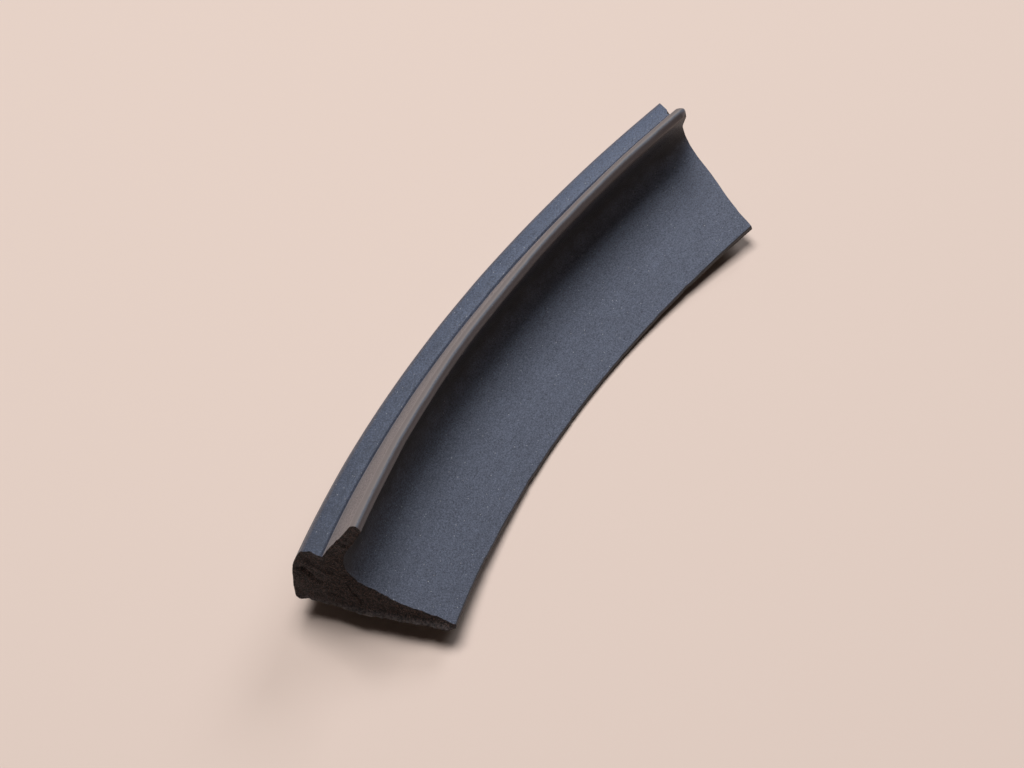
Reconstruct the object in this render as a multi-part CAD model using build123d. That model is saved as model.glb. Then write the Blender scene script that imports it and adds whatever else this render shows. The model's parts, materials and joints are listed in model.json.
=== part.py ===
# A short knife-cut length of a moulded rubber lip-seal ring, the elastic element of a pipe expansion joint.
# The ring section is drawn flat at mid-length (Y across, outwards from the ring; Z up from the rest plane)
# and is turned about the ring's own axis, which leans over the heel side, so that the conical underside
# touches the rest plane along one line at mid-length and both ends stand a little clear of it.
from build123d import *
from copy import copy
from math import acos, atan2, cos, degrees, hypot, radians, sin, sqrt, tan
import os

os.makedirs("parts", exist_ok=True)

# ring
free_edge_radius = 161.95       # radius of the flange's free edge, half of a 323.9 mm pipe
cone_angle = 30.0               # lean of the ring's axis from the vertical, at rest
near_angle = 19.65              # from mid-length to the near cut, measured at the heel
far_angle = 18.0                # from mid-length to the far cut
near_skew = -0.7                # turn of the near cut off the radial plane, positive where the heel is longer
near_lean = 7.7                 # lean of the near cut along the ring's axis, positive where the top is longer
far_skew = 11.5
far_lean = -1.3

# flange: a tapering conical skirt
tip_thickness = 1.15
flange_taper = 18.0             # angle of its upper face to its underside
flange_length = 11.5            # from the free edge to the joint with the middle wedge
cover_thickness = 0.5           # smooth facing over the flange, the hollow and the lip's inner face

# hollow between flange and lip
hollow_radius = 6.0

# lip
lip_height = 20.8               # centre of the round bead above the underside
lip_reach = 16.1                # the same centre, measured from the free edge
lip_bead_diameter = 2.0
lip_inner_lean = 22.0           # inner face from the vertical
facing_thickness = 0.4          # tan facing on the lip's outer face
facing_stop = 0.7               # bare length of lip between the facing and the bead's centre

# heel
heel_width = 26.2               # from the free edge to the nub's outer side
heel_corner_height = 12.7       # outer top corner
heel_corner_inset = 1.2
heel_bulge = 0.35               # how far the outer wall swells past the nub
heel_bulge_height = 7.0
groove_reach = 21.35            # root of the V groove behind the lip
groove_height = 12.9
groove_wall_width = 0.25        # run of the groove's outer wall, the strip's inner edge
groove_depth = 0.5
cap_thickness = 0.55            # smooth strip on top of the heel, at its outer edge
cap_flare = 0.3                 # how far the strip's lower edge stands outside its upper one
cap_crown = 0.15                # how far its middle swells above its edges
nub_height = 2.3
nub_inset = 0.45
nub_round = 0.8
wedge_width = 9.2               # middle wedge, between the flange and the heel block

slack = 6.0                     # degrees that each turned solid runs past its cuts
axis_offset = free_edge_radius / cos(radians(cone_angle))
ring_axis = Axis((0, -axis_offset, 0), (0, sin(radians(cone_angle)), cos(radians(cone_angle))))


def along(start, angle, distance):
    """A point at a distance from start, at an angle from the outward direction."""
    return (start[0] + distance * cos(radians(angle)), start[1] + distance * sin(radians(angle)))


def meet(start_a, angle_a, start_b, angle_b):
    """Where two lines cross, each given by a point and an angle."""
    ax, ay = cos(radians(angle_a)), sin(radians(angle_a))
    bx, by = cos(radians(angle_b)), sin(radians(angle_b))
    dx, dy = start_b[0] - start_a[0], start_b[1] - start_a[1]
    run = (dx * by - dy * bx) / (ax * by - ay * bx)
    return (start_a[0] + run * ax, start_a[1] + run * ay)


def hollow(depth):
    """The visible upper outline, moved in by depth: flange line, hollow arc and lip line as end points."""
    lip_angle = 90 + lip_inner_lean
    flange_start = (0, tip_thickness - depth / cos(radians(flange_taper)))
    bead_side = along(bead_centre, 180 + lip_inner_lean, lip_bead_diameter / 2 - depth)
    corner = meet(flange_start, flange_taper, bead_side, lip_angle)
    turn = (lip_angle - flange_taper) / 2
    run = (hollow_radius + depth) * tan(radians(turn))
    arc_start = along(corner, flange_taper, -run)
    arc_end = along(corner, lip_angle, run)
    toward = along(corner, flange_taper + 90 + turn, (hollow_radius + depth) * (1 / cos(radians(turn)) - 1))
    return flange_start, arc_start, toward, arc_end, bead_side


def outline(*edges):
    """A closed flat face in the plane across the ring at mid-length."""
    return Plane.YZ * make_face(Wire(list(edges)))


def flat(start, end):
    """A straight stretch held as a Bezier curve: a turned line would be a cone, and a cone's slanted
    cut is a hyperbola, which some solid kernels can't measure distances to."""
    middle = ((start[0] + end[0]) / 2, (start[1] + end[1]) / 2)
    return Bezier(start, middle, end)


def polygon(*points):
    return outline(*[flat(points[i - 1], points[i]) for i in range(len(points))])


bead_centre = (lip_reach, lip_height)
groove_root = (groove_reach, groove_height)
groove_edge = (groove_reach + groove_wall_width, groove_height + groove_depth)
heel_corner = (heel_width - heel_corner_inset, heel_corner_height)
nub_top = (heel_width - nub_inset, nub_height)
wall_middle = (heel_width + heel_bulge, heel_bulge_height)
cap_outer = (heel_corner[0] + cap_flare, heel_corner[1] - cap_thickness)

bead_radius = lip_bead_diameter / 2
root_run = (groove_root[0] - lip_reach, groove_root[1] - lip_height)
root_distance = hypot(*root_run)
tangent_angle = degrees(atan2(root_run[1], root_run[0]) + acos(bead_radius / root_distance))
bead_outer = along(bead_centre, tangent_angle, bead_radius)
outer_angle = tangent_angle + 90
outer_run = sqrt(root_distance ** 2 - bead_radius ** 2)
facing_end = along(groove_root, outer_angle, outer_run - facing_stop)
facing_end_inner = along(facing_end, outer_angle + 90, facing_thickness)
facing_root_inner = along(groove_root, outer_angle + 90, facing_thickness)

skin = hollow(0)
bed = hollow(cover_thickness)
wedge_end = flange_length + wedge_width
joint_top = (flange_length, bed[0][1] + flange_length * tan(radians(flange_taper)))


def flange_core():
    return polygon((0, 0), (flange_length, 0), joint_top, bed[0])


def flange_cover():
    return outline(
        flat(skin[0], skin[1]),
        ThreePointArc(skin[1], skin[2], skin[3]),
        flat(skin[3], skin[4]),
        flat(skin[4], bed[4]),
        flat(bed[4], bed[3]),
        ThreePointArc(bed[3], bed[2], bed[1]),
        flat(bed[1], bed[0]),
        flat(bed[0], skin[0]),
    )


def middle_wedge():
    return outline(
        flat((flange_length, 0), (wedge_end, 0)),
        flat((wedge_end, 0), groove_root),
        flat(groove_root, facing_root_inner),
        flat(facing_root_inner, bed[3]),
        ThreePointArc(bed[3], bed[2], bed[1]),
        flat(bed[1], joint_top),
        flat(joint_top, (flange_length, 0)),
    )


def sealing_lip():
    bead_top = along(bead_centre, (tangent_angle + 180 + lip_inner_lean) / 2, bead_radius)
    return outline(
        flat(bed[3], bed[4]),
        flat(bed[4], skin[4]),
        ThreePointArc(skin[4], bead_top, bead_outer),
        flat(bead_outer, facing_end),
        flat(facing_end, facing_end_inner),
        flat(facing_end_inner, facing_root_inner),
        flat(facing_root_inner, bed[3]),
    )


def lip_facing():
    return polygon(groove_root, facing_end, facing_end_inner, facing_root_inner)


def heel_block():
    toe_start = (heel_width - nub_round, 0)
    toe_end = (heel_width, nub_round)
    toe_middle = along((heel_width - nub_round, nub_round), -45, nub_round)
    return outline(
        flat((wedge_end, 0), toe_start),
        ThreePointArc(toe_start, toe_middle, toe_end),
        flat(toe_end, nub_top),
        ThreePointArc(nub_top, wall_middle, cap_outer),
        flat(cap_outer, groove_root),
        flat(groove_root, (wedge_end, 0)),
    )


def heel_cap():
    crown = ((groove_edge[0] + heel_corner[0]) / 2, (groove_edge[1] + heel_corner[1]) / 2 + cap_crown)
    return outline(
        flat(groove_root, cap_outer),
        flat(cap_outer, heel_corner),
        ThreePointArc(heel_corner, crown, groove_edge),
        flat(groove_edge, groove_root),
    )


def turned(face):
    """The face carried round the ring's axis, a little past both cuts."""
    start = face.rotate(ring_axis, -far_angle - slack)
    return revolve(start, axis=ring_axis, revolution_arc=near_angle + far_angle + 2 * slack)


def cut_plane(angle, outward, skew, lean):
    """The knife's plane through the heel's top corner, at an angle round the ring."""
    pivot = ring_axis.position
    corner = pivot + (Vector(0, heel_corner[0], heel_corner[1]) - pivot).rotate(ring_axis, angle)
    tangent = Vector(outward, 0, 0).rotate(ring_axis, angle)
    radial = Vector(0, cos(radians(cone_angle)), -sin(radians(cone_angle))).rotate(ring_axis, angle)
    normal = tangent - radial * tan(radians(skew)) - ring_axis.direction * tan(radians(lean))
    return Plane(origin=corner, z_dir=normal)


near_cut = cut_plane(near_angle, -1, near_skew, near_lean)
far_cut = cut_plane(-far_angle, 1, far_skew, far_lean)


def trimmed(solid):
    return split(split(solid, bisect_by=near_cut, keep=Keep.BOTTOM), bisect_by=far_cut, keep=Keep.BOTTOM)


sections = {
    "flange_core": flange_core(),
    "flange_cover": flange_cover(),
    "middle_wedge": middle_wedge(),
    "sealing_lip": sealing_lip(),
    "lip_facing": lip_facing(),
    "heel_block": heel_block(),
    "heel_cap": heel_cap(),
}
solids = {name: trimmed(turned(face)) for name, face in sections.items()}

# the origin is under the middle of the whole part, on the rest plane
box = Compound(children=[copy(solid) for solid in solids.values()]).bounding_box()
home = Vector(-(box.min.X + box.max.X) / 2, -(box.min.Y + box.max.Y) / 2, -box.min.Z)

for name, solid in solids.items():
    export_step(solid.moved(Location(home)), f"parts/{name}.step")
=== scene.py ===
import json
from math import acos, atan2, cos, hypot, pi, radians, sin, sqrt, tan

import bpy
import numpy as np
from mathutils import Matrix, Vector


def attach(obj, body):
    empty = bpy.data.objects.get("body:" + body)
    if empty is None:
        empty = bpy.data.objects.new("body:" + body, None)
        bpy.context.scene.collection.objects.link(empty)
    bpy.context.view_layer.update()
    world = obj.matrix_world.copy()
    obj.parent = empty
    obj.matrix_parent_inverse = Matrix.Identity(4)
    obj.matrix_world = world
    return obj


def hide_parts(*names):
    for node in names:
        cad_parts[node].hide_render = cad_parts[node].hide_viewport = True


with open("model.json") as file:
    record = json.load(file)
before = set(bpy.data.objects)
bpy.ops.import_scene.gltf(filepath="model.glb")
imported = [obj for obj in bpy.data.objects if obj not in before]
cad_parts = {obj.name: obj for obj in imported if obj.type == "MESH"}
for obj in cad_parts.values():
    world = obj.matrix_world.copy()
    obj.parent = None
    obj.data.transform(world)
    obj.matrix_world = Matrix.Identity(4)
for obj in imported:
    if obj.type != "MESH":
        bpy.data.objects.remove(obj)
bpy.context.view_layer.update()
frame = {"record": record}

# The part is a length cut from a moulded rubber ring. Its section is drawn in millimetres: u outwards from
# the flange's free edge, v up from the rest plane. The ring's axis leans over the heel side.
ring = {
    "freeEdgeRadius": 161.95,
    "coneAngle": radians(30.0),
    "seatReach": 22.0,              # the heel seat stands this far out from the free edge
    "farGuess": -0.32,              # rough angles of the two cuts, in radians
    "nearGuess": 0.34,
}
mounts = {mount["name"]: mount for mount in frame["record"]["mounts"]}
nearFace = mounts["near_splice_face"]
farFace = mounts["far_splice_face"]
metre = 1000.0
home = np.array(mounts["heel_seat"]["pos_m"]) * metre - (0.0, ring["seatReach"], 0.0)
axisSin, axisCos = sin(ring["coneAngle"]), cos(ring["coneAngle"])
axisOffset = ring["freeEdgeRadius"] / axisCos
ringAxis = np.array((0.0, axisSin, axisCos))
ringCentre = home - (0.0, axisOffset, 0.0)
radialOut = np.array((0.0, axisCos, -axisSin))
tangentOut = np.array((-1.0, 0.0, 0.0))


def ringPlace(u, v):
    # height along the ring's axis and distance from it, for a point of the section
    across = u + axisOffset
    return across * axisSin + v * axisCos, across * axisCos - v * axisSin


def turned(u, v, theta):
    # the section point carried round the axis: centre + axis * height + radius * (cos out + sin tangent)
    height, radius = ringPlace(u, v)
    spot = ringCentre + ringAxis * height[..., None]
    around = radialOut * np.cos(theta)[..., None] + tangentOut * np.sin(theta)[..., None]
    return spot + radius[..., None] * around


def cutAngle(face, u, v, guess):
    # a cos(theta) + b sin(theta) = c where the turned point meets the knife's plane
    normal = np.array(face["axis"])
    height, radius = ringPlace(u, v)
    a, b = radius * (radialOut @ normal), radius * (tangentOut @ normal)
    c = (np.array(face["pos_m"]) * metre - ringCentre) @ normal - height * (ringAxis @ normal)
    lead = np.arctan2(b, a)
    swing = np.arccos(np.clip(c / np.hypot(a, b), -1.0, 1.0))
    first, second = lead - swing, lead + swing
    return np.where(abs(first - guess) < abs(second - guess), first, second)


def hashed(cells, seed):
    # a repeatable number from 0 to 1 for each whole-number cell: large primes, mixed bitwise
    x, y, z = np.moveaxis(cells, -1, 0)
    mixed = (x * 73856093) ^ (y * 19349663) ^ (z * 83492791) ^ (seed * 2654435761)
    mixed = (mixed ^ (mixed >> 13)) * 1274126177
    return ((mixed ^ (mixed >> 16)) & 0xFFFFFF) / 0xFFFFFF


def noise(points, cell, seed):
    # smooth value noise from -1 to 1: hashed corner values, blended across each cell
    scaled = np.asarray(points) / cell
    base = np.floor(scaled).astype(np.int64)
    part = scaled - base
    part = part * part * (3.0 - 2.0 * part)
    total = 0.0
    for corner in np.ndindex(2, 2, 2):
        corner = np.array(corner)
        weight = np.prod(np.where(corner == 1, part, 1.0 - part), axis=-1)
        total = total + weight * hashed(base + corner, seed)
    return total * 2.0 - 1.0


def rough(points, cell, seed, octaves=3):
    # layers of noise, each half the size and height of the last
    return sum(noise(points, cell / 2 ** n, seed + n) / 2 ** n for n in range(octaves))


def lineDistance(u, v, start, end):
    # distance from each point to a stretch of line, and how far along the stretch its foot lies
    du, dv = end[0] - start[0], end[1] - start[1]
    share = np.clip(((u - start[0]) * du + (v - start[1]) * dv) / (du * du + dv * dv), 0.0, 1.0)
    return np.hypot(u - start[0] - share * du, v - start[1] - share * dv), share


def smoothStep(low, high, value):
    share = np.clip((value - low) / (high - low), 0.0, 1.0)
    return share * share * (3.0 - 2.0 * share)


def bell(distance, width):
    return np.exp(-(distance / width) ** 2)


# section
flange = {"tip": 1.15, "taper": radians(18.0), "length": 11.5, "cover": 0.5, "hollowRadius": 6.0}
lip = {"reach": 16.1, "height": 20.8, "bead": 1.0, "innerLean": radians(22.0), "facing": 0.4, "facingStop": 0.7}
heel = {
    "width": 26.2, "cornerHeight": 12.7, "cornerInset": 1.2, "bulge": 0.35, "bulgeHeight": 7.0,
    "grooveReach": 21.35, "grooveHeight": 12.9, "grooveWall": 0.25, "grooveDepth": 0.5,
    "strip": 0.55, "stripFlare": 0.3, "stripCrown": 0.15,
    "nubHeight": 2.3, "nubInset": 0.45, "nubRound": 0.8, "wedge": 9.2,
}


def pair(*values):
    return np.array(values, float)


def along(start, angle, distance):
    return start + distance * pair(cos(angle), sin(angle))


def meet(startA, angleA, startB, angleB):
    # where two lines cross, each given by a point and an angle
    headA, headB = pair(cos(angleA), sin(angleA)), pair(cos(angleB), sin(angleB))
    gap = startB - startA
    run = (gap[0] * headB[1] - gap[1] * headB[0]) / (headA[0] * headB[1] - headA[1] * headB[0])
    return startA + run * headA


beadCentre = pair(lip["reach"], lip["height"])
lipAngle = pi / 2 + lip["innerLean"]


def hollow(depth):
    # end points of the flange line, the hollow's arc and the lip line, moved in from the surface by depth
    start = pair(0.0, flange["tip"] - depth / cos(flange["taper"]))
    beadSide = along(beadCentre, pi + lip["innerLean"], lip["bead"] - depth)
    corner = meet(start, flange["taper"], beadSide, lipAngle)
    turn = (lipAngle - flange["taper"]) / 2
    run = (flange["hollowRadius"] + depth) * tan(turn)
    away = (flange["hollowRadius"] + depth) * (1 / cos(turn) - 1)
    return (start, along(corner, flange["taper"], -run), along(corner, flange["taper"] + pi / 2 + turn, away),
            along(corner, lipAngle, run), beadSide)


skin = hollow(0.0)
bed = hollow(flange["cover"])
wedgeEnd = flange["length"] + heel["wedge"]
jointTop = pair(flange["length"], bed[0][1] + flange["length"] * tan(flange["taper"]))
grooveRoot = pair(heel["grooveReach"], heel["grooveHeight"])
grooveEdge = grooveRoot + pair(heel["grooveWall"], heel["grooveDepth"])
heelCorner = pair(heel["width"] - heel["cornerInset"], heel["cornerHeight"])
nubTop = pair(heel["width"] - heel["nubInset"], heel["nubHeight"])
wallMiddle = pair(heel["width"] + heel["bulge"], heel["bulgeHeight"])
stripOuter = heelCorner + pair(heel["stripFlare"], -heel["strip"])
rootRun = grooveRoot - beadCentre
rootGap = hypot(*rootRun)
tangentAngle = atan2(rootRun[1], rootRun[0]) + acos(lip["bead"] / rootGap)
beadOuter = along(beadCentre, tangentAngle, lip["bead"])
outerAngle = tangentAngle + pi / 2
facingEnd = along(grooveRoot, outerAngle, sqrt(rootGap ** 2 - lip["bead"] ** 2) - lip["facingStop"])
facingEndInner = along(facingEnd, outerAngle + pi / 2, lip["facing"])
facingRootInner = along(grooveRoot, outerAngle + pi / 2, lip["facing"])


def straight(start, end, count):
    # points from start up to, not including, end
    share = np.linspace(0.0, 1.0, count + 1)[:-1, None]
    return start + (end - start) * share


def arc(start, middle, end, count):
    # the circle through three points, from start up to, not including, end
    chords = np.array((middle - start, end - start))
    centre = np.linalg.solve(2 * chords, (chords * (chords + 2 * start)).sum(1))
    angles = np.unwrap([atan2(*(point - centre)[::-1]) for point in (start, middle, end)])
    swept = np.linspace(angles[0], angles[2], count + 1)[:-1]
    return centre + hypot(*(start - centre)) * np.stack((np.cos(swept), np.sin(swept)), -1)


def softCorner(start, corner, end, count):
    # a parabola that leaves one side and joins the next
    share = np.linspace(0.0, 1.0, count + 1)[:-1, None]
    return (1 - share) ** 2 * start + 2 * share * (1 - share) * corner + share ** 2 * end


def toward(start, end, distance):
    return start + (end - start) * distance / hypot(*(end - start))


def rail(end, *runs):
    return np.vstack(runs + (end,))


def patch(lower, upper, left, right):
    # Coons patch: the two rails blended across, plus the two sides blended along, less the corners' share
    s = np.linspace(0.0, 1.0, len(lower))[:, None, None]
    t = np.linspace(0.0, 1.0, len(left))[None, :, None]
    rails = (1 - t) * lower[:, None] + t * upper[:, None]
    sides = (1 - s) * left[None] + s * right[None]
    corners = (1 - s) * ((1 - t) * lower[0] + t * upper[0]) + s * ((1 - t) * lower[-1] + t * upper[-1])
    return rails + sides - corners


# wear that all pieces share
wear = {
    "skinWave": 0.035, "skinCells": (7.0, 6.0), "skinSeeds": (11, 12),
    "edgeWave": 0.05, "edgeCell": 6.0, "edgeSeed": 21,      # slow wander of the free edge
    "edgeNicks": ((-31.0, 0.16, 0.5), (-12.5, 0.12, 0.4), (4.0, 0.16, 0.35), (19.5, 0.12, 0.6), (38.0, 0.2, 0.5)),
    "edgeThin": 0.4, "thinHalf": 48.0, "thinReach": 2.0,    # the free edge is thinnest at mid-length
    "beadWave": 0.05, "beadCells": (9.0, 8.0), "beadSeeds": (31, 41),
    "nubNotch": (24.1, 0.5, 0.45),
    "mouldLines": ((9.6, 0.012), (12.4, 0.018)), "mouldWidth": 0.18,
}


def warp(u, v, arcLength):
    # small shifts of the section, the same for every piece, so that bonded faces stay together
    where = np.stack((arcLength, u * 2.0, v * 2.0), -1)
    edgeLine = np.stack((arcLength, arcLength * 0, arcLength * 0), -1)
    skinU, skinV = (noise(where, cell, seed) for cell, seed in zip(wear["skinCells"], wear["skinSeeds"]))
    du, dv = wear["skinWave"] * skinU, wear["skinWave"] * skinV

    edge = np.clip(1.0 - u / 2.5, 0.0, 1.0) ** 2 * np.clip(1.0 - v / 4.0, 0.0, 1.0)
    bite = wear["edgeWave"] * (0.6 + rough(edgeLine, wear["edgeCell"], wear["edgeSeed"], 4))
    for spot, depth, width in wear["edgeNicks"]:
        bite = bite + depth * bell(arcLength - spot, width)
    du = du + edge * bite

    beadShare = smoothStep(17.0, 20.0, v) * smoothStep(22.0, 18.0, u)
    beadU, beadV = (rough(edgeLine, cell, seed) for cell, seed in zip(wear["beadCells"], wear["beadSeeds"]))
    du = du + beadShare * wear["beadWave"] * beadU
    dv = dv + beadShare * wear["beadWave"] * beadV

    middle = np.clip(1.0 - (arcLength / wear["thinHalf"]) ** 2, 0.0, 1.0)
    underside = np.clip(1.0 - u / wear["thinReach"], 0.0, 1.0) * np.clip(1.0 - v / flange["tip"], 0.0, 1.0)
    dv = dv + wear["edgeThin"] * middle * underside

    reach, depth, width = wear["nubNotch"]
    dv = dv + depth * bell(u - reach, width) * smoothStep(2.4, 0.6, v) * smoothStep(48.0, 54.0, arcLength)
    upperFace = smoothStep(1.2, 2.4, v) * smoothStep(9.0, 7.0, v)
    for reach, height in wear["mouldLines"]:
        dv = dv + height * bell(u - reach, wear["mouldWidth"]) * upperFace
    return du, dv


hollowCentre = along(skin[1], flange["taper"] + pi / 2, flange["hollowRadius"])


def hollowDistance(u, v):
    return np.hypot(u - hollowCentre[0], v - hollowCentre[1])


# the rough near cut: lines are pairs of section points, the rest millimetres
nearCut = {
    "grainHeight": 0.14, "grainSize": 0.8, "grainSeed": 51, "lumpHeight": 0.10, "lumpSize": 3.6, "lumpSeed": 61,
    "ridge": ((24.4, 10.0), (20.2, 7.7)), "ridgeHeight": 0.55, "ridgeWidth": 0.42,
    "valley": ((24.9, 7.9), (22.4, 5.6)), "valleyDepth": 0.75, "valleyWidth": 0.55,
    "tearLines": (((17.9, 6.2), (16.7, 3.8)), ((16.7, 3.8), (15.2, 1.7))), "tearDepth": 0.28, "tearWidth": 0.16,
    "lipStep": ((19.2, 16.9), (16.4, 15.2)), "stepDepth": 0.55, "stepWidth": 0.4, "stepRise": 0.3,
    "hollowDip": 0.55, "dipWidth": 1.3, "footRise": 0.85, "footSize": 1.1, "footSeed": 71,
    "stripChip": (21.9, 13.2), "stripRise": 0.8, "chipWidth": 1.3,
}


def nearOffset(u, v):
    # how far the rough cut stands out of the knife's plane, in mm
    where = np.stack((u, v, u * 0.0), -1)
    offset = nearCut["grainHeight"] * rough(where, nearCut["grainSize"], nearCut["grainSeed"])
    offset = offset + nearCut["lumpHeight"] * noise(where, nearCut["lumpSize"], nearCut["lumpSeed"])
    distance, share = lineDistance(u, v, *nearCut["ridge"])
    offset = offset + nearCut["ridgeHeight"] * bell(distance, nearCut["ridgeWidth"]) * (1.0 - 0.6 * share)
    distance, share = lineDistance(u, v, *nearCut["valley"])
    offset = offset - nearCut["valleyDepth"] * bell(distance, nearCut["valleyWidth"]) * (1.0 - 0.5 * share)
    for line in nearCut["tearLines"]:
        distance = lineDistance(u, v, *line)[0]
        offset = offset - nearCut["tearDepth"] * bell(distance, nearCut["tearWidth"])
    distance = lineDistance(u, v, *nearCut["lipStep"])[0]
    offset = offset - nearCut["stepDepth"] * bell(distance, nearCut["stepWidth"])
    offset = offset + nearCut["stepRise"] * smoothStep(15.6, 16.6, v)
    # sunk along the hollow's edge
    behind = np.clip(hollowDistance(u, v) - flange["hollowRadius"], 0.0, 9.0)
    offset = offset - nearCut["hollowDip"] * np.exp(-behind / nearCut["dipWidth"]) * smoothStep(9.0, 13.0, u)
    # the lower edge stands out raggedly
    foot = smoothStep(1.6, 0.0, v) * smoothStep(0.0, 1.2, u) * smoothStep(21.0, 16.5, u)
    footLine = np.stack((u, u * 0.0, u * 0.0), -1)
    ragged = 0.9 + 0.14 * rough(footLine, nearCut["footSize"], nearCut["footSeed"])
    offset = offset + nearCut["footRise"] * foot * ragged
    distance = np.hypot(u - nearCut["stripChip"][0], v - nearCut["stripChip"][1])
    return offset + nearCut["stripRise"] * bell(distance, nearCut["chipWidth"])


# the clean far cut: notches are a section point and a depth
farCut = {
    "grainHeight": 0.035, "grainSize": 1.4, "grainSeed": 81,
    "notches": ((21.9, 13.3, 0.55), (16.7, 8.4, 0.35)), "notchWidth": 0.45,
    "hollowRise": 0.3, "riseRadius": 6.5, "riseWidth": 2.5, "tipRise": 0.3, "tipReach": 4.0,
    "beadSwell": 0.45, "beadRound": 1.25, "swellFrom": 2.2, "swellTo": 0.4,
}


def farOffset(u, v):
    # a fine grain, a notch in the strip's end, a tiny one where the hollow starts, and the bead's domed end
    where = np.stack((u, v, u * 0.0), -1)
    offset = farCut["grainHeight"] * rough(where, farCut["grainSize"], farCut["grainSeed"])
    for reach, height, depth in farCut["notches"]:
        offset = offset - depth * bell(np.hypot(u - reach, v - height), farCut["notchWidth"])
    fromRise = hollowDistance(u, v) - farCut["riseRadius"]
    offset = offset + farCut["hollowRise"] * bell(fromRise, farCut["riseWidth"])
    offset = offset + farCut["tipRise"] * smoothStep(farCut["tipReach"], 0.0, u)
    spread = np.hypot(u - beadCentre[0], np.maximum(v - beadCentre[1], 0.0)) / lip["bead"]
    dome = farCut["beadSwell"] - farCut["beadRound"] * np.clip(spread, 0.0, 1.0) ** 2
    return offset + dome * smoothStep(beadCentre[1] - farCut["swellFrom"], beadCentre[1] - farCut["swellTo"], v)


def stations(middle, endCount=10):
    # shares of the way from the far cut to the near one, closer together towards both cuts
    ends = 0.5 * (1.0 - np.cos(np.linspace(0.0, pi / 2, endCount + 1)))[1:] * 0.01
    inner = np.linspace(ends[-1], 1.0 - ends[-1], middle + 1)
    return np.concatenate(((0.0,), ends[:-1], inner, 1.0 - ends[:-1][::-1], (1.0,)))


def latticeFaces(shape):
    # numbers for the outer points of a three-way grid, and the quads of its six sides
    index = np.full(shape, -1)
    shell = np.zeros(shape, bool)
    for axis in range(3):
        for side in (0, -1):
            shell[tuple(side if n == axis else slice(None) for n in range(3))] = True
    index[shell] = np.arange(shell.sum())
    quads = []
    for axis in range(3):
        for side in (0, -1):
            grid = index[tuple(side if n == axis else slice(None) for n in range(3))]
            if (axis == 1) != (side == 0):
                grid = grid[::-1]
            corners = grid[:-1, :-1], grid[1:, :-1], grid[1:, 1:], grid[:-1, 1:]
            quads.append(np.stack(corners, -1).reshape(-1, 4))
    return shell, np.vstack(quads)


def buildMesh(name, points, quads, attributes, sharp=40.0):
    # faces are turned over if the closed shell's volume comes out negative
    corners = points[quads]
    volume = np.einsum("ij,ij->i", corners[:, 0], np.cross(corners[:, 1], corners[:, 2])).sum()
    volume += np.einsum("ij,ij->i", corners[:, 0], np.cross(corners[:, 2], corners[:, 3])).sum()
    if volume < 0:
        quads = quads[:, ::-1]
    mesh = bpy.data.meshes.new(name)
    mesh.vertices.add(len(points))
    mesh.vertices.foreach_set("co", np.ascontiguousarray(points / metre, np.float32).ravel())
    mesh.loops.add(quads.size)
    mesh.loops.foreach_set("vertex_index", np.ascontiguousarray(quads, np.int32).ravel())
    mesh.polygons.add(len(quads))
    mesh.polygons.foreach_set("loop_start", np.arange(0, quads.size, 4, dtype=np.int32))
    mesh.polygons.foreach_set("use_smooth", np.ones(len(quads), bool))
    mesh.update(calc_edges=True)
    mesh.validate()
    mesh.set_sharp_from_angle(angle=radians(sharp))
    for label, values in attributes.items():
        kind = "FLOAT_VECTOR" if values.ndim == 2 else "FLOAT"
        layer = mesh.attributes.new(label, kind, "POINT")
        layer.data.foreach_set("vector" if values.ndim == 2 else "value", values.astype(np.float32).ravel())
    piece = bpy.data.objects.new(name, mesh)
    bpy.context.scene.collection.objects.link(piece)
    return piece


def ringBlock(name, section, shares):
    # the patch swept round the ring between the two cuts: section point (u, v) at share w of the way
    u, v = section[..., 0][..., None], section[..., 1][..., None]
    height, radius = ringPlace(u, v)
    farAngle = cutAngle(farFace, u, v, ring["farGuess"]) - farOffset(u, v) / radius
    nearAngle = cutAngle(nearFace, u, v, ring["nearGuess"]) + nearOffset(u, v) / radius
    theta = farAngle + (nearAngle - farAngle) * shares
    u, v = np.broadcast_to(u, theta.shape), np.broadcast_to(v, theta.shape)
    arcLength = theta * ring["freeEdgeRadius"]
    du, dv = warp(u, v, arcLength)
    shell, quads = latticeFaces(theta.shape)
    points = turned(u + du, v + dv, theta)[shell]
    cut = np.zeros(theta.shape)
    # the bead's far end stays smooth
    cut[..., 0] = np.where(v[..., 0] > beadCentre[1] - lip["bead"], 0.0, 1.0)
    cut[..., -1] = 1.0
    attributes = {"place": np.stack((arcLength, u, v), -1)[shell], "cut": cut[shell]}
    return buildMesh(name, points, quads, attributes)


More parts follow.
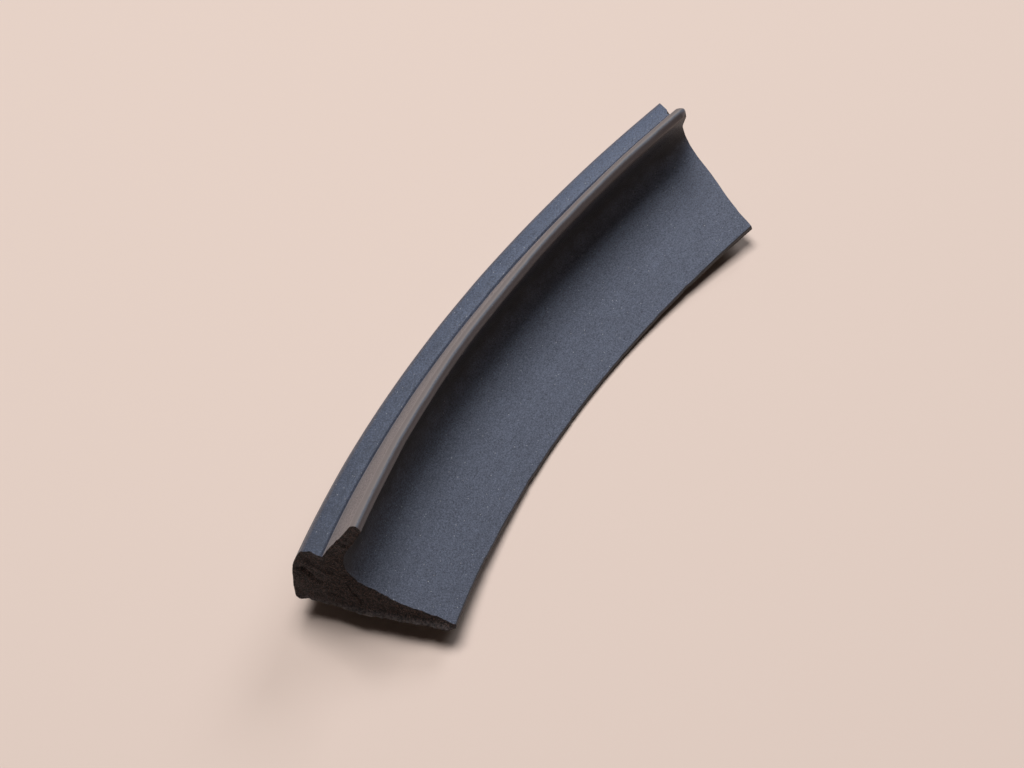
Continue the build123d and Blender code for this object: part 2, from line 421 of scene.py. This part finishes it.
# materials
class Wire:
    # a socket that can be added, multiplied and so on; each operation adds a Math node
    def __init__(self, tree, socket=None):
        self.tree, self.socket = tree, socket

    def node(self, kind, settings=None, sockets=None, output=0):
        made = self.tree.nodes.new(kind)
        for key, value in (settings or {}).items():
            setattr(made, key, value)
        for key, value in (sockets or {}).items():
            if isinstance(value, Wire):
                self.tree.links.new(value.socket, made.inputs[key])
            else:
                made.inputs[key].default_value = value
        return Wire(self.tree, made.outputs[output])

    def math(self, operation, *others, clamp=False):
        values = dict(enumerate((self,) + others))
        return self.node("ShaderNodeMath", {"operation": operation, "use_clamp": clamp}, values)

    def __add__(self, other):
        return self.math("ADD", other)

    __radd__ = __add__

    def __mul__(self, other):
        return self.math("MULTIPLY", other)

    def __sub__(self, other):
        return self.math("SUBTRACT", other)

    def __rsub__(self, other):
        return self.node("ShaderNodeMath", {"operation": "SUBTRACT"}, {0: other, 1: self})

    def between(self, low, high):
        # 0 below low, 1 above high, smooth in between
        settings = {"interpolation_type": "SMOOTHSTEP"}
        return self.node("ShaderNodeMapRange", settings, {"Value": self, "From Min": low, "From Max": high})

    def mixed(self, first, second):
        # first colour where this is 0, second where it is 1
        return self.node("ShaderNodeMix", {"data_type": "RGBA"}, {0: self, 6: first, 7: second}, 2)

    def scaled(self, *factors):
        return self.node("ShaderNodeVectorMath", {"operation": "MULTIPLY"}, {0: self, 1: factors})

    def speckle(self, scale, detail=3.0, roughness=0.6):
        sockets = {"Vector": self, "Scale": scale, "Detail": detail, "Roughness": roughness}
        return self.node("ShaderNodeTexNoise", None, sockets)

    def cells(self, scale):
        return self.node("ShaderNodeTexVoronoi", None, {"Vector": self, "Scale": scale})


def rgb(*values):
    return (*values, 1.0)


def startMaterial(name):
    material = bpy.data.materials.new(name)
    material.use_nodes = True
    tree = material.node_tree
    tree.nodes.clear()
    out = tree.nodes.new("ShaderNodeOutputMaterial")
    return material, Wire(tree), out


# the crumbled rubber on cut faces
cutLook = {
    "scale": 2.2, "fineScale": 5.0, "dark": (0.0030, 0.0010, 0.0008), "light": (0.110, 0.060, 0.046),
    "glint": (0.200, 0.150, 0.135), "bump": 0.55, "roughness": 0.82,
    "lowEdge": {"slant": 90.0, "from": -3.0, "to": 0.35, "soft": 0.9, "share": 0.8},
    "lowColour": (0.125, 0.115, 0.122),
}

# what all moulded skins share
skinLook = {
    "streakStretch": (0.04, 1.0, 1.0), "grainScale": 3.8, "fineScale": 7.0,
    "dustColour": (0.36, 0.37, 0.40), "dustSize": 0.2, "dustScale": 1.9, "dustShare": 0.68,
    "sheenTint": (0.75, 0.82, 1.0),
}


def dustOn(place, look):
    # a few cells whose centres are paler, of unlike sizes
    scale = skinLook["dustScale"]
    picked = place.node("ShaderNodeTexVoronoi", None, {"Vector": place, "Scale": scale}, "Color")
    chance = picked.node("ShaderNodeSeparateColor", None, {"Color": picked}, "Red")
    size = chance.between(skinLook["dustShare"], 1.0) * skinLook["dustSize"]
    return (size - place.cells(scale)).between(0.0, 0.04) * look["dust"]


def rubber(name, look):
    # moulded rubber: mottled colour, streaks along the ring, grain, dust; brown-black crumb on cut faces
    material, wire, out = startMaterial(name)
    place = wire.node("ShaderNodeAttribute", {"attribute_name": "place"}, None, "Vector")
    cut = wire.node("ShaderNodeAttribute", {"attribute_name": "cut"}, None, "Fac").between(0.45, 0.75)

    # skin: streaks are noise drawn out along the ring, and painted light makes it paler towards the far end
    streak = place.scaled(*skinLook["streakStretch"]).speckle(look["streakScale"], 4.0, 0.65)
    mottle = place.speckle(look["mottleScale"], 4.0, 0.6)
    grain = place.speckle(skinLook["grainScale"], 2.0, 0.7)
    fine = place.speckle(skinLook["fineScale"], 2.0, 0.7)
    dust = dustOn(place, look)
    shade = (streak - 0.5) * look["streak"] + (mottle - 0.5) * look["mottle"]
    shade = shade + (grain * 0.6 + fine * 0.4 - 0.5) * look["grain"]
    arcLength = place.node("ShaderNodeSeparateXYZ", None, {"Vector": place}, "X")
    tone = (shade - arcLength * look["paintedFarLight"] + 0.5).math("ADD", 0.0, clamp=True)
    skinColour = tone.mixed(rgb(*look["dark"]), rgb(*look["light"]))
    skinColour = dust.mixed(skinColour, rgb(*skinLook["dustColour"]))
    for band in look.get("bands", ()):
        skinColour = bandShare(place, mottle, band).mixed(skinColour, rgb(*band["colour"]))

    # cut faces: crumb with glints, and pale grey crumb close to the torn lower edge
    crumb = place.speckle(cutLook["scale"], 4.0, 0.75)
    crumbFine = place.speckle(cutLook["fineScale"], 3.0, 0.7)
    crumbTone = (crumb * 0.45 + crumbFine * 0.55).between(0.46, 0.62)
    cutColour = crumbTone.mixed(rgb(*cutLook["dark"]), rgb(*cutLook["light"]))
    cutColour = crumbFine.between(0.60, 0.68).mixed(cutColour, rgb(*cutLook["glint"]))
    lowEdge = bandShare(place, crumb, cutLook["lowEdge"]) * crumb.between(0.42, 0.60)
    cutColour = lowEdge.mixed(cutColour, rgb(*cutLook["lowColour"]))

    roughness = look["roughness"] + (mottle - 0.5) * 0.12 + dust * 0.2
    roughness = roughness * (1 - cut) + cut * cutLook["roughness"]
    skinHeight = (grain * 0.7 + fine * 0.3) * look["bump"] * (1 - cut)
    cutHeight = (crumb + crumbFine * 0.6) * cut * cutLook["bump"]
    height = skinHeight + cutHeight + streak * look["streakBump"]
    shader = wire.node("ShaderNodeBsdfPrincipled", None, {
        "Base Color": cut.mixed(skinColour, cutColour), "Roughness": roughness,
        "Normal": wire.node("ShaderNodeBump", None, {"Strength": 1.0, "Distance": 0.001, "Height": height}),
        "IOR": look["ior"], "Sheen Weight": look["sheen"], "Sheen Roughness": 0.5,
        "Sheen Tint": rgb(*skinLook["sheenTint"]),
    })
    wire.tree.links.new(shader.socket, out.inputs["Surface"])
    return material


def bandShare(place, mottle, band):
    # 1 inside a strip of the section, measured along a slant of u and v, with a wandering edge
    slant, low, soft = radians(band["slant"]), band["from"], band["soft"]
    sockets = {0: place, 1: (0.0, cos(slant), sin(slant))}
    value = place.node("ShaderNodeVectorMath", {"operation": "DOT_PRODUCT"}, sockets, "Value")
    value = value + (mottle - 0.5) * soft
    return value.between(low - soft, low) * (1 - value.between(band["to"], band["to"] + soft)) * band["share"]


def finish(piece, material, slot, *nodes):
    piece.data.materials.append(material)
    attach(piece, "root")
    if nodes:
        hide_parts(*nodes)
    print("made", piece.name, len(piece.data.polygons), "faces")


# flange cover: the smooth facing
coverLook = {
    "dark": (0.040, 0.048, 0.074), "light": (0.142, 0.165, 0.236),
    "streak": 0.30, "streakScale": 1.3, "mottle": 0.35, "mottleScale": 0.35, "grain": 4.2, "paintedFarLight": 0.0032,
    "dust": 0.9, "roughness": 0.56, "bump": 0.20, "streakBump": 0.01,
    "ior": 1.45, "sheen": 0.06,
    "bands": (
        # the free edge's narrow tip face made brown-black: partly its own dark colour, partly painted contact
        # shade along the floor
        {"colour": (0.016, 0.010, 0.008), "share": 0.9, "slant": 0.0, "from": -2.0, "to": 0.06, "soft": 0.2},
        # painted shade: the lip's inner face, which looks down into the hollow, made near-black
        {"colour": (0.006, 0.004, 0.004), "share": 0.92, "slant": 90.0, "from": 10.5, "to": 30.0, "soft": 4.0},
        {"colour": (0.070, 0.040, 0.024), "share": 0.55, "slant": 90.0, "from": 19.6, "to": 30.0, "soft": 1.6},
    ),
}


def makeCover():
    tipSide = toward(skin[0], bed[0], 0.14)
    tipTop = toward(skin[0], skin[1], 0.16)
    lower = rail(bed[4], straight(bed[0], bed[1], 58), arc(bed[1], bed[2], bed[3], 36),
                 straight(bed[3], bed[4], 18))
    upper = rail(skin[4], straight(tipTop, skin[1], 58), arc(skin[1], skin[2], skin[3], 36),
                 straight(skin[3], skin[4], 18))
    left = rail(tipTop, straight(bed[0], tipSide, 2), softCorner(tipSide, skin[0], tipTop, 3))
    right = rail(skin[4], straight(bed[4], skin[4], 5))
    piece = ringBlock("flangeCover", patch(lower, upper, left, right), stations(300))
    finish(piece, rubber("coverRubber", coverLook), "cover_rubber", "flange_cover")


# flange core: the coarse body of the skirt
coreLook = {
    "dark": (0.010, 0.008, 0.008), "light": (0.036, 0.031, 0.030),
    "streak": 0.35, "streakScale": 1.1, "mottle": 0.45, "mottleScale": 0.3, "grain": 4.8, "paintedFarLight": 0.0012,
    "dust": 0.6, "roughness": 0.68, "bump": 0.09, "streakBump": 0.02,
    "ior": 1.48, "sheen": 0.05,
}


def makeCore():
    toe = pair(0.0, 0.0)
    joint = pair(flange["length"], 0.0)
    toeUnder, toeSide = pair(0.12, 0.0), pair(0.0, 0.1)
    lower = rail(joint, straight(toeUnder, joint, 48))
    upper = rail(jointTop, straight(bed[0], jointTop, 48))
    left = rail(bed[0], softCorner(toeUnder, toe, toeSide, 3), straight(toeSide, bed[0], 15))
    right = rail(jointTop, straight(joint, jointTop, 18))
    piece = ringBlock("flangeCore", patch(lower, upper, left, right), stations(300))
    finish(piece, coreRubber, "core_rubber", "flange_core")


# middle wedge: under the hollow
def makeWedge():
    start, foot = pair(flange["length"], 0.0), pair(wedgeEnd, 0.0)
    lower = rail(grooveRoot, straight(start, foot, 40), straight(foot, grooveRoot, 50))
    upper = rail(facingRootInner, straight(jointTop, bed[1], 8), arc(bed[1], bed[2], bed[3], 68),
                 straight(bed[3], facingRootInner, 14))
    left = rail(jointTop, straight(start, jointTop, 42))
    right = rail(facingRootInner, straight(grooveRoot, facingRootInner, 42))
    piece = ringBlock("middleWedge", patch(lower, upper, left, right), stations(200))
    finish(piece, coreRubber, "core_rubber", "middle_wedge")


# sealing lip with its round bead
lipLook = {
    "dark": (0.034, 0.030, 0.032), "light": (0.140, 0.132, 0.142),
    "streak": 0.6, "streakScale": 2.0, "mottle": 0.4, "mottleScale": 0.3, "grain": 4.0, "paintedFarLight": 0.0056,
    "dust": 0.8, "roughness": 0.5, "bump": 0.05, "streakBump": 0.015,
    "ior": 1.5, "sheen": 0.1,
    "bands": (
        {"colour": (0.085, 0.105, 0.150), "share": 0.6, "slant": 95.0, "from": 19.75, "to": 30.0, "soft": 0.35},
        {"colour": (0.205, 0.172, 0.166), "share": 0.90, "slant": 22.0, "from": 23.1, "to": 40.0, "soft": 0.3},
        {"colour": (0.060, 0.038, 0.030), "share": 0.75, "slant": 0.0, "from": 10.0, "to": 15.45, "soft": 0.4},
    ),
}


def makeLip():
    beadMiddle = (tangentAngle + pi + lip["innerLean"]) / 2
    beadSpread = radians(35.0)
    outerTop = along(beadCentre, beadMiddle - beadSpread, lip["bead"])
    innerTop = along(beadCentre, beadMiddle + beadSpread, lip["bead"])
    beadTop = along(beadCentre, beadMiddle, lip["bead"])
    outerHalf = along(beadCentre, (tangentAngle + beadMiddle - beadSpread) / 2, lip["bead"])
    innerHalf = along(beadCentre, (pi + lip["innerLean"] + beadMiddle + beadSpread) / 2, lip["bead"])
    lower = rail(outerTop, straight(facingRootInner, facingEndInner, 38),
                 straight(facingEndInner, facingEnd, 2), straight(facingEnd, beadOuter, 6),
                 arc(beadOuter, outerHalf, outerTop, 8))
    upper = rail(innerTop, straight(bed[3], bed[4], 43), straight(bed[4], skin[4], 2),
                 arc(skin[4], innerHalf, innerTop, 9))
    left = rail(bed[3], straight(facingRootInner, bed[3], 12))
    right = rail(innerTop, arc(outerTop, beadTop, innerTop, 12))
    piece = ringBlock("sealingLip", patch(lower, upper, left, right), stations(320))
    finish(piece, rubber("lipRubber", lipLook), "lip_rubber", "sealing_lip")


# tan facing on the lip's outer side
facingLook = {
    "dark": (0.125, 0.104, 0.102), "light": (0.330, 0.280, 0.272),
    "streak": 1.5, "streakScale": 4.2, "mottle": 0.35, "mottleScale": 0.25, "grain": 6.0, "paintedFarLight": 0.0012,
    "dust": 0.6, "roughness": 0.62, "bump": 0.05, "streakBump": 0.04,
    "ior": 1.46, "sheen": 0.08,
    "bands": (
        {"colour": (0.36, 0.31, 0.30), "share": 0.6, "slant": 90.0, "from": 12.0, "to": 13.5, "soft": 0.15},
    ),
}


def makeFacing():
    endSide, endTop = toward(facingEnd, grooveRoot, 0.14), toward(facingEnd, facingEndInner, 0.14)
    lower = rail(endSide, straight(grooveRoot, endSide, 48))
    upper = rail(facingEndInner, straight(facingRootInner, facingEndInner, 48))
    left = rail(facingRootInner, straight(grooveRoot, facingRootInner, 5))
    right = rail(facingEndInner, softCorner(endSide, facingEnd, endTop, 3), straight(endTop, facingEndInner, 2))
    piece = ringBlock("lipFacing", patch(lower, upper, left, right), stations(320))
    finish(piece, rubber("tanFacing", facingLook), "tan_facing", "lip_facing")


# heel block
heelLook = {
    "dark": (0.022, 0.022, 0.026), "light": (0.085, 0.086, 0.096),
    "streak": 0.45, "streakScale": 1.4, "mottle": 0.4, "mottleScale": 0.25, "grain": 3.2, "paintedFarLight": 0.002,
    "dust": 0.7, "roughness": 0.6, "bump": 0.06, "streakBump": 0.02,
    "ior": 1.5, "sheen": 0.08,
}


def makeHeel():
    foot = pair(wedgeEnd, 0.0)
    nubOut, nubUp = pair(heel["width"] - heel["nubRound"], 0.0), pair(heel["width"], heel["nubRound"])
    nubMiddle = along(pair(nubOut[0], nubUp[1]), -pi / 4, heel["nubRound"])
    lower = rail(nubTop, straight(foot, nubOut, 30), arc(nubOut, nubMiddle, nubUp, 8),
                 straight(nubUp, nubTop, 6))
    upper = rail(stripOuter, straight(grooveRoot, stripOuter, 44))
    left = rail(grooveRoot, straight(foot, grooveRoot, 46))
    right = rail(stripOuter, arc(nubTop, wallMiddle, stripOuter, 46))
    piece = ringBlock("heelBlock", patch(lower, upper, left, right), stations(220))
    finish(piece, rubber("heelRubber", heelLook), "heel_rubber", "heel_block")


# smooth strip on the heel
stripLook = {
    "dark": (0.033, 0.043, 0.070), "light": (0.118, 0.146, 0.222),
    "streak": 0.40, "streakScale": 1.2, "mottle": 0.6, "mottleScale": 0.22, "grain": 4.2, "paintedFarLight": 0.0064,
    "dust": 1.0, "roughness": 0.5, "bump": 0.17, "streakBump": 0.01,
    "ior": 1.5, "sheen": 0.12,
    "bands": (
        {"colour": (0.120, 0.100, 0.100), "share": 0.45, "slant": 0.0, "from": 24.7, "to": 30.0, "soft": 0.25},
    ),
}


def makeStrip():
    soft = 0.14
    crown = (grooveEdge + heelCorner) / 2 + pair(0.0, heel["stripCrown"])
    edgeTop, edgeSide = toward(grooveEdge, crown, soft), toward(grooveEdge, grooveRoot, soft)
    cornerTop, cornerSide = toward(heelCorner, crown, soft), toward(heelCorner, stripOuter, soft)
    lower = rail(stripOuter, straight(grooveRoot, stripOuter, 40))
    upper = rail(cornerTop, arc(edgeTop, crown, cornerTop, 40))
    left = rail(edgeTop, straight(grooveRoot, edgeSide, 3), softCorner(edgeSide, grooveEdge, edgeTop, 3))
    right = rail(cornerTop, straight(stripOuter, cornerSide, 3),
                 softCorner(cornerSide, heelCorner, cornerTop, 3))
    piece = ringBlock("heelStrip", patch(lower, upper, left, right), stations(300))
    finish(piece, rubber("stripRubber", stripLook), "cap_rubber", "heel_cap")


coreRubber = rubber("coreRubber", coreLook)
makeCover()
makeCore()
makeWedge()
makeLip()
makeFacing()
makeHeel()
makeStrip()


# torn flash under the near cut
flash = {"start": 8.5, "end": 20.5, "hang": 0.75, "thick": 0.45, "base": 0.35, "points": (90, 10, 5)}
flashLook = dict(
    coreLook, dark=(0.045, 0.042, 0.046), light=(0.19, 0.18, 0.195), grain=0.9, bump=0.14, dust=0.0,
)


def makeFlash():
    # a ragged skirt: hangs below the lower edge by a noisy depth, thin at its free edge
    s = np.linspace(0.0, 1.0, flash["points"][0])[:, None, None]
    t = np.linspace(0.0, 1.0, flash["points"][1])[None, :, None]
    w = np.linspace(-1.0, 1.0, flash["points"][2])[None, None, :]
    u = flash["start"] + (flash["end"] - flash["start"]) * s + t * 0.0 + w * 0.0
    line = np.stack((u, u * 0.0, u * 0.0), -1)
    ends = np.sin(pi * s) ** 0.5
    hang = flash["hang"] * ends * np.clip(0.45 + 0.8 * rough(line, 1.6, 91, 4), 0.05, 1.3)
    v = flash["base"] - t * (flash["base"] + hang)
    thick = flash["thick"] * ends * (1.0 - 0.7 * t) * (0.8 + 0.4 * noise(line, 0.8, 95))
    height, radius = ringPlace(u, v)
    face = cutAngle(nearFace, u, v, ring["nearGuess"]) + nearOffset(u, np.maximum(v, 0.0)) / radius
    wobble = 0.18 * rough(np.stack((u, v, v * 0.0), -1), 0.9, 97, 3) * t
    theta = face + (w * thick * 0.5 - 0.25 + wobble) / radius
    shell, quads = latticeFaces(theta.shape)
    place = np.stack((theta * ring["freeEdgeRadius"], u, v), -1)[shell]
    points = turned(u, v, theta)[shell]
    piece = buildMesh("tornFlash", points, quads, {"place": place, "cut": place[:, 0] * 0.0})
    finish(piece, rubber("flashRubber", flashLook), "core_rubber")


# loose crumbs: for each place a count, then the ranges of u, v, angle in degrees and size
crumbs = {
    "grid": 6, "seed": 7, "lump": 0.35, "lumpSize": 0.12, "stretch": (0.6, 1.3),
    "bead": (9, (14.98, 15.12), (20.3, 20.9), (-14.0, 17.0), (0.05, 0.10)),
    "strip": (7, (21.5, 21.7), (13.2, 13.45), (-12.0, 18.0), (0.04, 0.07)),
}


def makeCrumbs():
    # lumpy balls: the outer points of a cube's grid brought to unit length, times size * (1 + noise)
    random = np.random.default_rng(crumbs["seed"])
    spots = np.vstack([
        np.stack([random.uniform(*limits, count) for limits in ranges], -1)
        for count, *ranges in (crumbs["bead"], crumbs["strip"])
    ])
    steps = np.linspace(-1.0, 1.0, crumbs["grid"])
    shell, quads = latticeFaces((crumbs["grid"],) * 3)
    ball = np.stack(np.meshgrid(steps, steps, steps, indexing="ij"), -1)[shell]
    ball = ball / np.linalg.norm(ball, axis=-1, keepdims=True)
    stretch = random.uniform(*crumbs["stretch"], (len(spots), 1, 3))
    centres = turned(spots[:, 0], spots[:, 1], np.radians(spots[:, 2]))[:, None]
    reach = ball * stretch * spots[:, 3, None, None]
    reach = reach * (1.0 + crumbs["lump"] * rough(centres + reach, crumbs["lumpSize"], 101, 2)[..., None])
    points = (centres + reach).reshape(-1, 3)
    quads = (quads + len(ball) * np.arange(len(spots))[:, None, None]).reshape(-1, 4)
    piece = buildMesh("looseCrumbs", points, quads, {"place": points, "cut": points[:, 0] * 0.0})
    finish(piece, rubber("crumbRubber", flashLook), "core_rubber")


makeFlash()
makeCrumbs()

# floor, light and camera
floorLook = {"size": 3.0, "colour": (0.80, 0.655, 0.585), "roughness": 0.85}


def makeFloor():
    half = floorLook["size"] / 2
    mesh = bpy.data.meshes.new("floor")
    corners = [(-half, -half, 0), (half, -half, 0), (half, half, 0), (-half, half, 0)]
    mesh.from_pydata(corners, [], [(0, 1, 2, 3)])
    floor = bpy.data.objects.new("floor", mesh)
    bpy.context.scene.collection.objects.link(floor)
    material, wire, out = startMaterial("paleBoard")
    sockets = {"Base Color": rgb(*floorLook["colour"]), "Roughness": floorLook["roughness"]}
    shader = wire.node("ShaderNodeBsdfPrincipled", None, sockets)
    wire.tree.links.new(shader.socket, out.inputs["Surface"])
    mesh.materials.append(material)


lamps = {
    "softBox": {"place": (0.03, 0.17, 1.0), "size": 0.5, "power": 8.7, "colour": (1.0, 0.985, 0.965)},
    "sideBox": {"place": (0.95, 0.03, 0.78), "size": 0.55, "power": 3.9, "colour": (0.94, 0.97, 1.0)},
}
room = {"colour": (1.0, 0.80, 0.66), "strength": 0.032}


def areaLight(name, lamp):
    # a square light that faces the part's origin
    light = bpy.data.lights.new(name, "AREA")
    light.shape, light.size, light.energy, light.color = "SQUARE", lamp["size"], lamp["power"], lamp["colour"]
    holder = bpy.data.objects.new(name, light)
    holder.location = lamp["place"]
    holder.rotation_euler = (-Vector(lamp["place"])).to_track_quat("-Z", "Y").to_euler()
    bpy.context.scene.collection.objects.link(holder)


def makeRoom():
    world = bpy.data.worlds.new("room")
    world.use_nodes = True
    background = world.node_tree.nodes["Background"]
    background.inputs["Color"].default_value = rgb(*room["colour"])
    background.inputs["Strength"].default_value = room["strength"]
    bpy.context.scene.world = world
    bpy.context.scene.view_settings.view_transform = "Standard"


view = {
    "fromHome": (-236.589, -136.593, 352.1), "lens": 91.41,
    "right": (0.53062, -0.84757, -0.00739), "up": (0.66756, 0.41252, 0.61983),
    "back": (-0.5223, -0.33383, 0.78471),
}


def makeCamera():
    camera = bpy.data.cameras.new("camera")
    camera.lens, camera.sensor_width, camera.clip_start = view["lens"], 36.0, 0.01
    holder = bpy.data.objects.new("camera", camera)
    axes = Matrix((view["right"], view["up"], view["back"])).transposed().to_4x4()
    holder.matrix_world = Matrix.Translation((home + view["fromHome"]) / metre) @ axes
    bpy.context.scene.collection.objects.link(holder)
    bpy.context.scene.camera = holder


makeFloor()
for name, lamp in lamps.items():
    areaLight(name, lamp)
makeRoom()
makeCamera()
print("floor, light and camera set")
